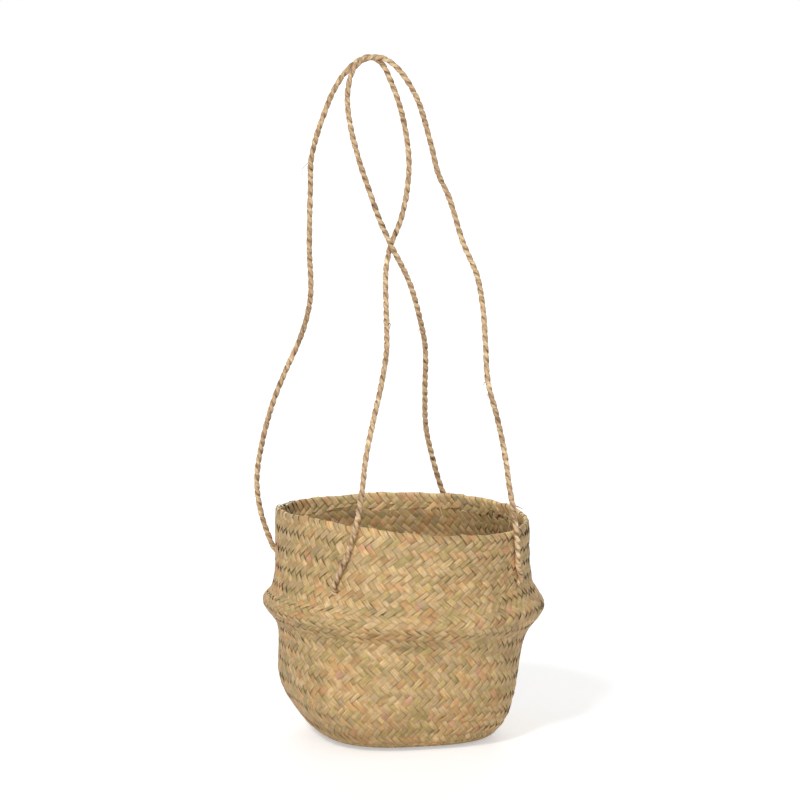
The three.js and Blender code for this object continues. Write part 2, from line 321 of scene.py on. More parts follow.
def strip_nature(strips, steps):
    """A table strip by step of what sets one stretch of a strip apart from the next: tone and shade of the blade, how
    far it wanders sideways, how plump it lies, how it is tilted, the painted highlight and shade of its two edges,
    and how wide it is, now and then pinched where it dives. Each is a middle value, plus the strip's own share, plus
    a drift."""
    own = rng.uniform(-1, 1, (strips, 1, 5))
    drift = rng.normal(0, 1, (strips, steps, 7))
    middle, own_share, drift_share, least, most = STRIP_SPREADS.T
    shares = own_share * np.pad(own[..., :4], ((0, 0), (0, 0), (0, 3)))
    uneven_values = np.clip(middle + shares + drift_share * drift, least, most)
    pinched = rng.random((strips, steps)) < PINCHED_SHARE
    width = 1.0 + WIDTH_SPREAD * own[..., 4] - PINCHED_BY * pinched
    return np.concatenate([uneven_values, width[..., None]], -1)


def blade_shade(top, nature, hidden=HIDDEN_PAINTED_SHADE):
    """Painted shade of a strip at its section's six points: painted darker on the face that is hidden under other
    strips and on the face that shows inside the basket, and at each edge its own painted highlight and shade."""
    # Painted shade under other strips, and on the face that shows inside the basket.
    out, back = (hidden + (1 - hidden) * np.clip(1 + HIDDEN_FROM * t, 0, 1) for t in (top, -top))
    back = back * INSIDE_PAINTED_SHADE
    # Each edge's painted highlight and shade, part of which is carried onto the faces.
    left, right = nature[..., PAINTED_LEFT_EDGE], nature[..., PAINTED_RIGHT_EDGE]
    side = (out + back) / 2
    soft_left, soft_right = (1 + EDGE_ON_FACES * (edge - 1) for edge in (left, right))
    faces = [side * left, out * soft_left, out * soft_right, side * right, back * soft_right, back * soft_left]
    return nature[..., SHADE, None] * np.stack(faces, -1)


def wall_strips(rise, centre, nature):
    """One family of strips with its sections at the given crossing numbers, an array strip by ring: strip k runs
    along the lattice so that its angle grows (rise 1) or falls (rise -1) with the crossing number. A section lies
    along the other family, and turns level towards a strip's two ends, which are cut level. A strip narrows in the
    fold of the mouth and lies flatter towards the hem's edge; it bulges more where the plait is slack. The faces
    hidden under other strips get painted shade, deeper at the slack sides and paler low down where the plait is
    tight, and one family gets a painted sheen. Returns points and what the finish needs, as arrays strip, ring,
    section."""
    centre = np.broadcast_to(centre, (STRIPS, centre.shape[-1]))[..., None]
    low, high = centre[:, :1], centre[:, -1:]
    strip = np.arange(STRIPS)[:, None, None]
    step = np.floor((centre + 0.5) / 2).astype(int)
    mix = (centre + 0.5) / 2 - step
    here, after = (nature[strip, (step + k) % nature.shape[1]] for k in (0, 1))
    midway = here * (1 - mix[..., None]) + after * mix[..., None]
    inner = np.clip((centre - low) / UNEVEN_WITHIN, 0, 1) * np.clip((high - centre) / UNEVEN_WITHIN, 0, 1)
    settled = np.clip(centre / SETTLED_WITHIN, 0, 1)
    left, right = (edge_aside(rise, strip + k) * settled for k in (-0.5, 0.5))
    wander = inner * (midway[..., WANDER] + parted(strip, centre, rise)) + (left + right) / 2
    fold = np.clip(FOLD_WITHIN - np.abs(centre / 2 - RIM_PLACE), 0, 1)
    turned = np.mod(np.pi / STRIPS * (2 * strip + rise * centre), 2 * np.pi)
    at_front = np.sin(turned) < FRONT_BELOW
    pinch = inner * np.where(at_front, midway[..., WIDTH] - 1 + FRONT_OVERLAP, BACK_OVERLAP)
    loose = np.exp(-(((turned - LOOSE_MOUTH) / LOOSE_SPREAD) ** 2))
    across = SECTION_ACROSS * (1 + pinch - (FOLD_NARROWING + LOOSE_NARROWING * loose) * fold + right - left)
    level = np.clip(1 - np.minimum(centre - low, high - centre) / LEVEL_WITHIN, 0, 1)
    crossing = centre + rise * across * level
    place = (crossing - rise * across) / 2
    angle = np.pi / STRIPS * (2 * strip + across + 2 * wander + rise * crossing)
    top = rise * over_under(centre - rise * edge_aside(-rise, strip + rise * centre) * settled)
    flat = np.clip((HEM_END - centre / 2) / FLATTER_WITHIN, FLATTEST, 1)
    slack = side_slack(turned)
    relief = WEAVE_LIFT * flat * slackness(centre / 2) * (1 + SLACK_RELIEF * slack)
    tight = np.clip(1 - centre / 2 / NECK_PLACE, 0, 1) * (1 - slack)
    # Painted shade in the gaps: deeper at the slack sides, paler low down where the plait is tight.
    hidden = HIDDEN_PAINTED_SHADE * (1 - SLACK_GAP_PAINTED_DARKER * slack) + TIGHT_GAP_PAINTED_PALER * np.clip(TIGHT_STEEPNESS * tight, 0, 1)
    tilted = 2 * SECTION_ACROSS * flat * midway[..., TILT]
    lift = relief * midway[..., PLUMP] * top + SECTION_THROUGH + tilted
    points = on_plait(angle, place, lift)
    shape = crossing.shape
    along = np.broadcast_to(crossing * STRIP_PITCH, shape)
    side = np.broadcast_to(MAP_STEP * strip + SECTION_ACROSS, shape)
    values = {
        "tone": np.broadcast_to(here[..., TONE], shape),
        # The right-rising family is a little darker: partly its own tone, partly a painted sheen on the other
        # family's floats.
        "shade": blade_shade(top, here, hidden)[:, :, 0] * (1 - FAMILY_TONE_AND_PAINTED_SHEEN * rise),
    }
    return points, np.stack([along, side], -1), values


def ribbon_faces(strips, rings, around):
    """Quads of closed ribbons: along the rings, round the section, and two quads over each end."""
    s, r, c = np.meshgrid(np.arange(strips), np.arange(rings - 1), np.arange(around), indexing="ij")
    n = (c + 1) % around
    sides = [(s * rings + ring) * around + corner for ring, corner in ((r, c), (r, n), (r + 1, n), (r + 1, c))]
    body = np.stack(sides, -1).reshape(-1, 4)
    start = np.arange(strips)[:, None] * rings * around
    lower = np.vstack([start + [3, 2, 1, 0], start + [5, 4, 3, 0]])
    upper = np.vstack([start + [0, 1, 2, 3], start + [0, 3, 4, 5]]) + (rings - 1) * around
    return np.vstack([body, lower, upper])


# Edges that turn by more than this stay sharp.
SHARP_FROM = np.radians(60)


def mesh_piece(name, points, quads, triangles=None, uv=None, values=None):
    """A piece of the object from points in mm and corner lists, with its own map and named point values."""
    mesh = bpy.data.meshes.new(name)
    corners = quads.ravel()
    starts = np.arange(0, quads.size, 4)
    if triangles is not None:
        starts = np.concatenate([starts, quads.size + np.arange(0, triangles.size, 3)])
        corners = np.concatenate([corners, triangles.ravel()])
    points = np.asarray(points, float).reshape(-1, 3)
    mesh.vertices.add(len(points))
    mesh.vertices.foreach_set("co", (points * 0.001).astype(np.float32).ravel())
    mesh.loops.add(len(corners))
    mesh.loops.foreach_set("vertex_index", corners.astype(np.int32))
    mesh.polygons.add(len(starts))
    mesh.polygons.foreach_set("loop_start", starts.astype(np.int32))
    mesh.polygons.foreach_set("use_smooth", np.ones(len(starts), bool))
    mesh.update(calc_edges=True)
    mesh.set_sharp_from_angle(angle=SHARP_FROM)
    if uv is not None:
        layer = mesh.uv_layers.new(name="along_and_across")
        layer.data.foreach_set("uv", np.asarray(uv, np.float32).reshape(-1, 2)[corners].ravel())
    for key, value in (values or {}).items():
        mesh.attributes.new(key, "FLOAT", "POINT").data.foreach_set("value", np.asarray(value, np.float32).ravel())
    piece = bpy.data.objects.new(name, mesh)
    bpy.context.scene.collection.objects.link(piece)
    return piece


def linear(red, green, blue):
    """A display colour, 0 to 255, as the linear colour that the shaders take."""
    c = np.array([red, green, blue]) / 255.0
    return tuple(np.where(c <= 0.04045, c / 12.92, ((c + 0.055) / 1.055) ** 2.4)) + (1.0,)


def grass_grain():
    """Node group: the marks of a dried grass blade, as noise stretched along it: fine veins, soft blotches and
    long streaks."""
    group = bpy.data.node_groups.new("grass_grain", "ShaderNodeTree")
    group.interface.new_socket("Map", in_out="INPUT", socket_type="NodeSocketVector")
    group.interface.new_socket("Veins", in_out="OUTPUT", socket_type="NodeSocketFloat")
    group.interface.new_socket("Blotch", in_out="OUTPUT", socket_type="NodeSocketFloat")
    group.interface.new_socket("Streak", in_out="OUTPUT", socket_type="NodeSocketFloat")
    nodes, links = group.nodes, group.links
    given = nodes.new("NodeGroupInput")
    result = nodes.new("NodeGroupOutput")
    for socket, scale, detail in (
        ("Veins", (0.05, 6.0, 1.0), 3.0), ("Blotch", (0.16, 0.9, 1.0), 2.0), ("Streak", (0.07, 2.3, 1.7), 2.0),
    ):
        stretch = nodes.new("ShaderNodeMapping")
        stretch.inputs["Scale"].default_value = scale
        noise = nodes.new("ShaderNodeTexNoise")
        noise.inputs["Scale"].default_value = 1.0
        noise.inputs["Detail"].default_value = detail
        links.new(given.outputs["Map"], stretch.inputs["Vector"])
        links.new(stretch.outputs["Vector"], noise.inputs["Vector"])
        links.new(noise.outputs["Fac"], result.inputs[socket])
    return group


GRASS_GRAIN = grass_grain()
# What all the grass shares: how strongly it is blotched and bleached in wide patches, the patches to the metre, how
# high its veins stand, in metres, and how weak its gloss is.
BLOTCH = 0.1
PATCH = 0.08
PATCH_SCALE = 26.0
VEIN_HEIGHT = 0.0003
GLOSS = 0.25


def grass_material(name, palette, veins, streaks, roughness):
    """Dried grass: a palette picked by each blade's tone, its streaks and wide patches bleached alike, times the
    blade's own shade and the veins of the grain group, which also lift the surface."""
    material = bpy.data.materials.new(name)
    material.use_nodes = True
    nodes, links = material.node_tree.nodes, material.node_tree.links
    skin = nodes["Principled BSDF"]
    skin.inputs["Roughness"].default_value = roughness
    skin.inputs["Specular IOR Level"].default_value = GLOSS
    grain = nodes.new("ShaderNodeGroup")
    grain.node_tree = GRASS_GRAIN
    own_map = nodes.new("ShaderNodeUVMap")
    own_map.uv_map = "along_and_across"
    links.new(own_map.outputs["UV"], grain.inputs["Map"])

    def spread(source, low, high):
        """A noise, which keeps mostly between 0.3 and 0.7, spread from low to high."""
        node = nodes.new("ShaderNodeMapRange")
        node.inputs["From Min"].default_value = 0.3
        node.inputs["From Max"].default_value = 0.7
        node.inputs["To Min"].default_value = low
        node.inputs["To Max"].default_value = high
        links.new(source, node.inputs["Value"])
        return node.outputs["Result"]

    def combine(operation, a, b):
        """Two values joined by one operation."""
        node = nodes.new("ShaderNodeMath")
        node.operation = operation
        links.new(a, node.inputs[0])
        links.new(b, node.inputs[1])
        return node.outputs["Value"]

    tone = nodes.new("ShaderNodeAttribute")
    tone.attribute_name = "tone"
    shade = nodes.new("ShaderNodeAttribute")
    shade.attribute_name = "shade"
    ramp = nodes.new("ShaderNodeValToRGB")
    ramp.color_ramp.elements.remove(ramp.color_ramp.elements[1])
    for k, colour in enumerate(palette):
        spot = k / (len(palette) - 1)
        stop = ramp.color_ramp.elements[0] if k == 0 else ramp.color_ramp.elements.new(spot)
        stop.position = spot
        stop.color = linear(*colour)
    place = nodes.new("ShaderNodeTexCoord")
    patch = nodes.new("ShaderNodeTexNoise")
    patch.inputs["Scale"].default_value = PATCH_SCALE
    patch.inputs["Detail"].default_value = 1.0
    links.new(place.outputs["Object"], patch.inputs["Vector"])
    tones = combine("ADD", tone.outputs["Fac"], spread(grain.outputs["Streak"], -streaks, streaks))
    links.new(combine("ADD", tones, spread(patch.outputs["Fac"], -PATCH, PATCH)), ramp.inputs["Fac"])
    factor = spread(grain.outputs["Veins"], 1 - veins, 1 + veins)
    factor = combine("MULTIPLY", factor, spread(grain.outputs["Blotch"], 1 - BLOTCH, 1 + BLOTCH))
    factor = combine("MULTIPLY", factor, spread(patch.outputs["Fac"], 1 - PATCH, 1 + PATCH))
    factor = combine("MULTIPLY", factor, shade.outputs["Fac"])
    tint = nodes.new("ShaderNodeVectorMath")
    tint.operation = "SCALE"
    links.new(ramp.outputs["Color"], tint.inputs[0])
    links.new(factor, tint.inputs["Scale"])
    links.new(tint.outputs["Vector"], skin.inputs["Base Color"])
    bump = nodes.new("ShaderNodeBump")
    bump.inputs["Strength"].default_value = 0.35
    bump.inputs["Distance"].default_value = VEIN_HEIGHT
    links.new(grain.outputs["Veins"], bump.inputs["Height"])
    links.new(bump.outputs["Normal"], skin.inputs["Normal"])
    return material


GRASS_PALETTE = [
    (184, 156, 128), (182, 162, 106), (202, 171, 112), (213, 184, 142), (203, 166, 111), (204, 156, 104),
    (205, 158, 130),
]
SEAGRASS = grass_material("plaited_seagrass", GRASS_PALETTE, 0.17, 0.24, 0.58)
# Floats along a strip, more than the wall needs, and how near the base and the fold the even rings come.
FLOATS = 40
FIRST_RING = 0.4
LAST_RING = 0.95
strip_natures = {rise: strip_nature(STRIPS, FLOATS) for rise in (1, -1)}

wall_rings = (4 * np.arange(FLOATS // 2)[:, None] + RINGS_IN_FOUR).ravel()
wall_rings = wall_rings[(wall_rings > FIRST_RING) & (wall_rings < 2 * RIM_PLACE - LAST_RING)]
wall_rings = np.concatenate([[0.0], wall_rings, 2 * RIM_PLACE - FOLD_RINGS[::-1]])
for name, rise in (("right_rising_strips", 1), ("left_rising_strips", -1)):
    points, uv, values = wall_strips(rise, wall_rings, strip_natures[rise])
    strips = mesh_piece(name, points, ribbon_faces(*points.shape[:3]), uv=uv, values=values)
    strips.data.materials.append(SEAGRASS)
    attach(strips, "basket")
    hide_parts("woven_basket")

# Base mat. The same strips crossing the square floor of the basket from corner to corner, before they turn up
# the wall; rows of floats run round it as squares inside each other, so they meet the wall's rows.
SIDE = STRIPS // 4
HALF = SIDE / 2
# In crossings: the step between a mat strip's sections and how far the first and last lie from its ends; and how
# sharply it dives.
MAT_STEP = 1 / 3
MAT_FIRST, MAT_LAST = 0.6, 0.5
MAT_DIVE = 1.25


def over_or_under(a, b):
    """Which family is on top at a crossing of the mat: rows are counted in from the edge, and the family that
    rises to the right on the nearest wall is on top in the first two of every four."""
    row = np.abs(a) + np.abs(b) - SIDE
    facing_y = np.abs(b - a) >= np.abs(a + b)
    right_rising_on_top = np.mod(row + 1, 4) < 2
    return np.where(facing_y == right_rising_on_top, 1.0, -1.0)


def on_base(a, b, lift):
    """Lattice of the mat on the round-cornered floor: the square is bent into a disc whose edge meets the
    wall's strips at equal angles, and the disc follows the plait's section from its centre."""
    p, q = (np.sqrt(2) * np.sin(np.pi / 4 * np.clip(v / HALF, -1, 1)) for v in ((a + b) / 2, (b - a) / 2))
    x = p * np.sqrt(np.maximum(1 - q**2 / 2, 0))
    y = q * np.sqrt(np.maximum(1 - p**2 / 2, 0))
    return on_plait(np.arctan2(y, x), np.hypot(x, y) - 1, lift)


mat_points, mat_faces, mat_uv, mat_values = [], [], [], []
corner_count = 0
mat_nature = strip_nature(4 * SIDE, 2 * SIDE)
for turned in (1, -1):
    for k in range(1 - SIDE, SIDE):
        reach = SIDE - abs(k)
        inner = np.arange(-reach + MAT_FIRST, reach - MAT_LAST, MAT_STEP)[:, None]
        across = SECTION_ACROSS[None, :]
        limit = SIDE - np.abs(k + across)
        run = np.concatenate([-limit, np.broadcast_to(inner, (len(inner), across.size)), limit])
        centre = run.mean(1, keepdims=True)
        near = np.floor(centre)
        mix = np.clip((centre - near - 0.5) * MAT_DIVE + 0.5, 0, 1)
        mix = mix * mix * (3 - 2 * mix)
        state = [over_or_under(*((v, k) if turned > 0 else (k, -v))) for v in (near, near + 1)]
        top = turned * (state[0] * (1 - mix) + state[1] * mix)
        lift = WEAVE_LIFT * top + SECTION_THROUGH
        a, b = (run, k + across) if turned > 0 else (k + across, -run)
        mat_points.append(on_base(a, b, lift).reshape(-1, 3))
        mat_faces.append(ribbon_faces(1, len(run), across.size) + corner_count)
        corner_count += run.size
        strip = k + SIDE + (2 * SIDE if turned > 0 else 0)
        nature = mat_nature[strip, np.floor(centre / 2).astype(int) % (2 * SIDE)]
        # The mat's strips get the same painted shade under other strips, inside and at their edges.
        tones = np.broadcast_to(nature[..., TONE], run.shape), blade_shade(top, nature)[:, 0]
        along_across = run * STRIP_PITCH, np.broadcast_to(MAP_STEP * strip + across, run.shape)
        mat_uv.append(np.stack(along_across, -1).reshape(-1, 2))
        mat_values.append(np.stack(tones, -1).reshape(-1, 2))

mat_values = np.vstack(mat_values)
base_mat = mesh_piece(
    "base_mat", np.vstack(mat_points), np.vstack(mat_faces), uv=np.vstack(mat_uv),
    values={"tone": mat_values[:, 0], "shade": mat_values[:, 1]},
)
base_mat.data.materials.append(SEAGRASS)
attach(base_mat, "basket")
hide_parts("woven_basket")

# Hem. The same strips carried over the mouth, folded down inside and laid against the wall, where they are
# cut off; the cut ends are ragged.
# The hem's palette is the wall's, painted lighter: painted light on the inside of the mouth.
HEM_PALETTE_PAINTED_LIGHTER = [
    (210, 184, 153), (208, 189, 131), (228, 198, 138), (237, 211, 167), (229, 193, 137), (229, 183, 129),
    (230, 185, 155),
]
HEM_SEAGRASS_PAINTED_LIGHTER = grass_material("hem_seagrass", HEM_PALETTE_PAINTED_LIGHTER, 0.17, 0.24, 0.62)
# Sections along the flap of the hem, and how rarely a strip is cut much shorter than the rest.
FLAP_RINGS = 12
SHORT_CUTS = 1.4
hem_parts = []
for rise in (1, -1):
    cut = 2 * (HEM_END - rng.uniform(0.0, 1.0, STRIPS) ** SHORT_CUTS)
    fold_rings = np.tile(2 * RIM_PLACE + FOLD_RINGS[:, None], STRIPS)
    flap_rings = np.linspace(np.full(STRIPS, 2 * RIM_PLACE + 1), cut, FLAP_RINGS)
    hem_parts.append(wall_strips(rise, np.vstack([fold_rings, flap_rings]).T, strip_natures[rise]))
hem_corners = hem_parts[0][0][..., 0].size
hem_faces = [ribbon_faces(*part[0].shape[:3]) + k * hem_corners for k, part in enumerate(hem_parts)]
hem = mesh_piece(
    "turned_in_hem", np.vstack([part[0].reshape(-1, 3) for part in hem_parts]), np.vstack(hem_faces),
    uv=np.vstack([part[1].reshape(-1, 2) for part in hem_parts]),
    values={key: np.concatenate([part[2][key].ravel() for part in hem_parts]) for key in ("tone", "shade")},
)
hem.data.materials.append(HEM_SEAGRASS_PAINTED_LIGHTER)
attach(hem, "basket")
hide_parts("rim_hem")

# Fray. Fine splinters of grass left along the hem's cut edge, standing a little off the inside of the wall.
FRAYS = 56
FRAY_POINTS = 6
# A thread's sides, the share of its thickness that is left at its tip, the direction its section is squared to, and
# how fast the grain's map runs along it.
THREAD_SIDES = 6
THREAD_TIP = 0.4
THREAD_SLANT = np.array([0.31, 0.52, 0.79])
THREAD_MAP = 4.0


def threads(paths, thick):
    """Fine threads along rows of points: a six-sided section carried along each one, square to it and to a fixed
    slanting direction, and thinning to its tip."""
    ahead = np.gradient(paths, axis=1)
    ahead /= np.linalg.norm(ahead, axis=2)[..., None]
    first = np.cross(ahead, THREAD_SLANT)
    first /= np.linalg.norm(first, axis=2)[..., None]
    second = np.cross(ahead, first)
    turn = np.linspace(0, 2 * np.pi, THREAD_SIDES, endpoint=False)[:, None]
    size = (thick[:, None] * np.linspace(1.0, THREAD_TIP, paths.shape[1]))[..., None, None]
    return paths[:, :, None] + size * (np.cos(turn) * first[:, :, None] + np.sin(turn) * second[:, :, None])


def thread_piece(name, paths, thick, tone, shade):
    """A piece of many threads, each with its own tone and shade."""
    points = threads(paths, thick)
    shape = points.shape[:3]
    run = np.broadcast_to(THREAD_MAP * np.arange(shape[1])[None, :, None], shape)
    thread = np.arange(shape[0])[:, None, None]
    side = np.broadcast_to(MAP_STEP * thread + np.linspace(0, 0.3, THREAD_SIDES), shape)
    values = {
        key: np.broadcast_to(value[:, None, None], shape) for key, value in (("tone", tone), ("shade", shade))
    }
    return mesh_piece(name, points, ribbon_faces(*shape), uv=np.stack([run, side], -1), values=values)


reach = np.linspace(0.0, 1.0, FRAY_POINTS)[None, :]
fray_angle = rng.uniform(0, 2 * np.pi, (FRAYS, 1)) + rng.normal(0, 0.03, (FRAYS, 1)) * reach
fray_place = 2 * RIM_PLACE - HEM_END + rng.uniform(0.1, 0.5, (FRAYS, 1))
fray_place = fray_place - rng.uniform(0.2, 1.1, (FRAYS, 1)) ** 1.5 * reach
fray_lift = -1.5 - rng.uniform(0.3, 2.2, (FRAYS, 1)) * reach**1.5
fray = thread_piece(
    "hem_fray", on_plait(fray_angle, fray_place, fray_lift), rng.uniform(0.2, 0.4, FRAYS),
    rng.uniform(0.35, 0.6, FRAYS), rng.uniform(1.05, 1.3, FRAYS),
)
fray.data.materials.append(HEM_SEAGRASS_PAINTED_LIGHTER)
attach(fray, "basket")

# Handle cords. Each is about a metre of seagrass cord, two plies laid up to the left by hand, hung as a loose
# loop between its two holes in the upper wall. Lengths are in mm.
CORD_LAY = 16.5
INTO_WALL = 6.5
# The step between a cord's sections, the sides of a section, and the samples from one point of the route to the next.
CORD_STEP = 0.95
CORD_SIDES = 18
ROUTE_SAMPLES = 40
# A ply is an ellipse set off from the cord's middle.
PLY_OFFSET = 1.06
PLY_THICK = 1.52
PLY_WIDE = 1.96
# Painted light on a ply's crest, how much darker the painted shade makes the groove between the plies and how narrow
# it is, the darkest shade, and the tone and shade of a cut end.
PAINTED_CREST_LIGHT = 1.13
PAINTED_GROOVE_SHADE = 0.52
GROOVE_NARROW = 6
DARKEST = 0.25
CUT_TONE, CUT_SHADE = 0.5, 0.6
# How far the fibres turn with the lay, and the grain's map along the cord, to the mm, and across a ply.
FIBRE_TURN = 0.8
CORD_MAP, PLY_MAP = 3.0, 2.5
# Unevenness along the cord: the shortest and the longest wave, and the size of each.
UNEVEN_LAY = (25, 160, 0.2)
UNEVEN_PLY = (7, 40, 0.022)
UNEVEN_TONE = (6, 22, 0.075)
UNEVEN_GROOVE = (4, 14, 0.2)
UNEVEN_SHADE = (5, 16, 0.035)
# Points that each cord passes through, from its rear hole to its front one.
LEFT_ROUTE = np.array([
    [-86, 84, 149], [-97, 86, 158], [-103, 88, 172], [-110, 88, 195], [-114, 84, 223], [-111, 77, 256],
    [-103, 67, 295], [-93, 59, 325], [-82, 52, 353], [-76, 47, 376], [-74, 42, 398], [-77, 35, 435],
    [-78, 30, 468], [-78, 27, 495], [-78, 25, 516], [-74, 23, 536], [-68, 20, 556], [-60, 17, 577],
    [-50, 14, 594], [-38, 11, 605], [-27, 10, 608], [-17, 10, 602], [-9, 10, 587], [-1, 10, 566],
    [5, 10, 541], [8, 10, 515], [7, 10, 495], [1, 10, 465], [-9, 9.5, 440], [-15, 4, 419],
    [-20, -15, 379], [-25, -33, 351], [-35, -50, 322], [-47, -66, 292], [-57, -79, 263], [-63, -87, 232],
    [-68.5, -87.6, 205], [-75.5, -83.7, 179], [-81.9, -80, 162], [-86, -78.5, 149],
])
RIGHT_ROUTE = np.array([
    [86, 77.9, 149], [75.3, 84, 174], [64, 89.6, 201], [52, 83, 234], [42, 72, 267], [37, 58, 299], [31, 37, 345],
    [22, 24, 373], [8, 10, 408], [-11, 2.5, 442], [-22, 2, 466], [-31, 2, 491], [-39, 2, 514],
    [-46, 3, 540], [-50, 3, 563], [-50, 3, 580], [-45, 3.5, 598], [-36, 4, 606], [-28, 4, 608],
    [-20, 3.5, 608], [-10, 2, 603], [1, -3, 590], [11, -8, 570], [21, -15, 532], [26, -20, 507],
    [35, -26, 484], [44, -35, 448], [55, -44, 417], [58, -52, 390], [58, -60, 360], [58, -68, 326],
    [64, -77, 294], [69, -85, 260], [71, -90, 237], [73, -93, 220], [76, -95, 198], [78.9, -91, 178],
    [80.7, -86.8, 163], [84.6, -81.6, 150.5],
])


def into_holes(route, first, last):
    """A cord's route carried on at both ends, along its holes and into the wall."""
    ends = [cord_hole(name)[0] + cord_hole(name)[1] * INTO_WALL for name in (first, last)]
    return np.vstack([ends[0], route, ends[1]])


def spaced_along(points, step):
    """A line's points at equal steps of its own length, with the length at each."""
    run = length_along(points)
    at = np.linspace(0.0, run[-1], int(run[-1] / step) + 1)
    return np.stack([np.interp(at, run, points[:, k]) for k in range(3)], 1), at


def two_ply(beta):
    """Outline of two plies side by side: the distance from the cord's middle to the farther of two ellipses,
    set apart on either side of it, along each direction beta."""
    c, s = np.abs(np.cos(beta)), np.sin(beta)
    a = (c / PLY_THICK) ** 2 + (s / PLY_WIDE) ** 2
    b = c * PLY_OFFSET / PLY_THICK**2
    return (b + np.sqrt(b**2 - a * ((PLY_OFFSET / PLY_THICK) ** 2 - 1))) / a


def uneven(at, draw, shortest, longest, size):
    """A smooth uneven value along a length: the sum of six waves of different lengths."""
    return size * sum(
        np.sin(2 * np.pi * at / draw.uniform(shortest, longest) + draw.uniform(0, 6.3)) for _ in range(6)
    )


def laid_cord(name, line, at, aside, seed):
    """Two plies twisted along a line: the two-ply outline carried along it, square to it and to a direction
    aside, and turned once in every lay, with plies and lay a little uneven. Both ends are closed by a fan."""
    draw = np.random.default_rng(seed)
    ahead = np.gradient(line, axis=0)
    ahead /= np.linalg.norm(ahead, axis=1)[:, None]
    first = np.cross(aside, ahead)
    first /= np.linalg.norm(first, axis=1)[:, None]
    second = np.cross(ahead, first)
    beta = np.linspace(0, 2 * np.pi, CORD_SIDES, endpoint=False)[None, :]

    def by_ply(waves):
        """An uneven value along the cord, drawn anew for each of the two plies."""
        one, other = (uneven(at, draw, *waves)[:, None] for _ in range(2))
        return np.where(np.cos(beta) > 0, one, other)

    phase = uneven(at, draw, *UNEVEN_LAY) - 2 * np.pi * at / CORD_LAY
    out = two_ply(beta) * (1 + by_ply(UNEVEN_PLY))
    turned = beta + phase[:, None]
    points = line[:, None, :] + out[..., None] * (
        np.cos(turned)[..., None] * first[:, None, :] + np.sin(turned)[..., None] * second[:, None, :]
    )
    points = np.vstack([points.reshape(-1, 3), line[:1], line[-1:]])
    low, high = len(points) - 2, len(points) - 1
    ring = CORD_SIDES * np.arange(len(line) - 1)[:, None]
    c = np.arange(CORD_SIDES)
    n = (c + 1) % CORD_SIDES
    quads = np.stack([ring + c, ring + n, ring + CORD_SIDES + n, ring + CORD_SIDES + c], -1).reshape(-1, 4)
    last = low - CORD_SIDES
    triangles = np.vstack([
        np.stack([n, c, np.full_like(c, low)], 1), np.stack([last + c, last + n, np.full_like(c, high)], 1),
    ])
    fibre = np.arccos(np.cos(beta + FIBRE_TURN * 2 * np.pi * at[:, None] / CORD_LAY))
    uv = np.stack(np.broadcast_arrays(CORD_MAP * at[:, None], PLY_MAP * fibre / np.pi), -1).reshape(-1, 2)
    tone = 0.5 + by_ply(UNEVEN_TONE)
    # Painted shade in the groove between the plies and painted light on their crests, times an uneven shade along the
    # cord.
    groove = PAINTED_GROOVE_SHADE * (1 + uneven(at, draw, *UNEVEN_GROOVE)[:, None]) * np.sin(beta) ** GROOVE_NARROW
    shade = np.clip(PAINTED_CREST_LIGHT - groove, DARKEST, None) * (1 + uneven(at, draw, *UNEVEN_SHADE)[:, None])
    values = {
        "tone": np.concatenate([np.clip(tone, 0, 1).ravel(), [CUT_TONE, CUT_TONE]]),
        "shade": np.concatenate([shade.ravel(), [CUT_SHADE, CUT_SHADE]]),
    }
    return mesh_piece(name, points, quads, triangles, np.vstack([uv, [[0, 0], [0, 0]]]), values)


CORD_PALETTE = [
    (132, 104, 76), (178, 146, 112), (202, 166, 131), (212, 181, 139), (228, 202, 160), (240, 220, 184),
]
CORD_GRASS = grass_material("twisted_cord", CORD_PALETTE, 0.26, 0.4, 0.66)
# Loose ends of grass on each cord: place as a share of its length, then the sideways and upward offsets of the
# elbow and of the tip in mm, the half thickness in mm, the tone and the shade.
LOOSE_ENDS = {
    "left": np.array([
        [0.388, -8.3, -8.9, -7.3, -14.5, 0.32, 0.7, 0.85],
        [0.744, 2.8, 4.6, 5.5, 10.2, 0.24, 0.8, 1.1],
        [0.748, 3.1, 1.2, 2.7, -3.4, 0.6, 0.1, 0.6],
    ]),
    "right": np.array([
        [0.235, -2.9, 0.5, -3.9, -1.8, 0.4, 0.6, 0.9],
        [0.817, -3.0, 0.7, -4.3, -1.6, 0.5, 0.0, 0.45],
        [0.826, -2.9, -2.0, -2.4, -6.0, 0.32, 0.2, 0.8],
        [0.924, 4.9, -1.7, 9.7, -4.1, 0.55, 0.3, 0.62],
    ]),
}
# Samples from the foot to the elbow and from there to the tip, and the two directions of the offsets.
LOOSE_SAMPLES = 5
SIDEWAYS_AND_UP = np.array([[0.961, -0.276, 0.0], [0.0, 0.0, 1.0]])
